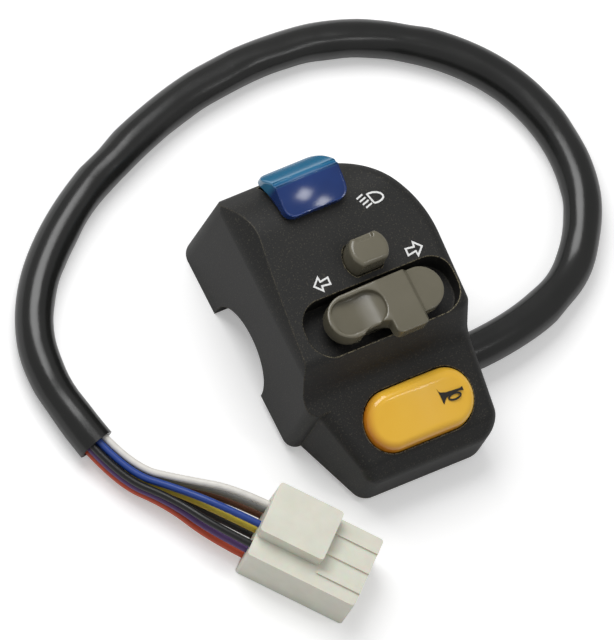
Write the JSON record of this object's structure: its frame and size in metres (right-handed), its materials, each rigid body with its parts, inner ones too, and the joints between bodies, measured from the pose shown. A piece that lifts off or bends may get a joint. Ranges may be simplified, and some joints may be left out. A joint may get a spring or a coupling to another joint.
{
  "type": "handlebar switch cluster",
  "caption": "Left handlebar switch for a small motorcycle: dip rocker, pass button, turn signal slide and horn button in a front half shell with its loom and plug.",
  "frame": {"origin": "on the handlebar's axis, halfway along the housing, in the parting plane", "axes": "+X along the handlebar towards its grip's far side, +Y up the switch face, +Z out of the switch face"},
  "size_m": [0.1467, 0.1318, 0.043],
  "materials": {
    "housing_abs": "fine spark texture",
    "brass": "stamped",
    "grey_key": "moulded, satin",
    "steel": "zinc plated",
    "white_acetal": "moulded",
    "brown_phenolic": "pressed laminate",
    "yellow_key": "moulded, gloss",
    "blue_key": "moulded, gloss",
    "pvc_sleeve": "soft PVC, satin",
    "nylon_plug": "natural nylon",
    "wire_white": "PVC insulation",
    "wire_grey": "PVC insulation",
    "wire_brown": "PVC insulation",
    "wire_blue": "PVC insulation",
    "wire_yellow": "PVC insulation",
    "wire_black": "PVC insulation",
    "wire_black_second": "PVC insulation",
    "wire_purple": "PVC insulation",
    "wire_red": "PVC insulation"
  },
  "bodies": {
    "root": {"front_housing": "housing_abs", "cover_inserts": "brass", "turn_terminals": "brass", "pass_terminals": "brass", "horn_terminals": "brass", "dip_terminals": "brass", "connector_terminals": "brass", "turn_detent_plate": "steel", "contact_base_screws": "steel", "pass_spring": "steel", "horn_spring": "steel", "horn_base_screws": "steel", "rocker_pin": "steel", "dip_base_screws": "steel", "contact_base": "brown_phenolic", "horn_base": "brown_phenolic", "dip_base": "brown_phenolic", "harness_sleeve": "pvc_sleeve", "connector_housing": "nylon_plug", "wire_white": "wire_white", "wire_grey": "wire_grey", "wire_brown": "wire_brown", "wire_blue": "wire_blue", "wire_yellow": "wire_yellow", "wire_black": "wire_black", "wire_black_second": "wire_black_second", "wire_purple": "wire_purple", "wire_red": "wire_red"},
    "turn": {"turn_knob": "grey_key", "turn_carrier": "white_acetal", "turn_detent_ball": "steel", "turn_detent_spring": "steel", "knob_screw": "steel", "turn_contact": "brass"},
    "pass": {"pass_button": "grey_key", "pass_contact": "brass"},
    "horn": {"horn_button": "yellow_key", "horn_contact": "brass"},
    "dip": {"dip_rocker": "blue_key", "dip_plunger": "white_acetal", "dip_spring": "steel"},
    "dip_see_saw": {"dip_lever": "brass"}
  },
  "joints": [
    {"name": "turn_slide", "type": "slide", "parent": "root", "child": "turn", "axis": [1, 0, 0], "range_m": [-0.0035, 0.0035]},
    {"name": "pass_press", "type": "slide", "parent": "root", "child": "pass", "axis": [0, 0, -1], "range_m": [0, 0.002], "stiffness_N_per_m": 300, "springref_m": -0.001, "deforming": ["pass_spring"]},
    {"name": "horn_press", "type": "slide", "parent": "root", "child": "horn", "axis": [0, 0, -1], "range_m": [0, 0.0022], "stiffness_N_per_m": 400, "springref_m": -0.001, "deforming": ["horn_spring"]},
    {"name": "dip_rock", "type": "hinge", "parent": "root", "child": "dip", "pos_m": [-0.0039, 0.02, 0.0278], "axis": [1, 0, 0], "range_deg": [-12, 0]},
    {"name": "dip_see_saw_tilt", "type": "hinge", "parent": "root", "child": "dip_see_saw", "pos_m": [-0.0039, 0.02, 0.01465], "axis": [1, 0, 0], "range_deg": [0, 12]}
  ],
  "couplings": [
    {"joint": "dip_see_saw_tilt", "follows": "dip_rock", "ratio": -1}
  ]
}
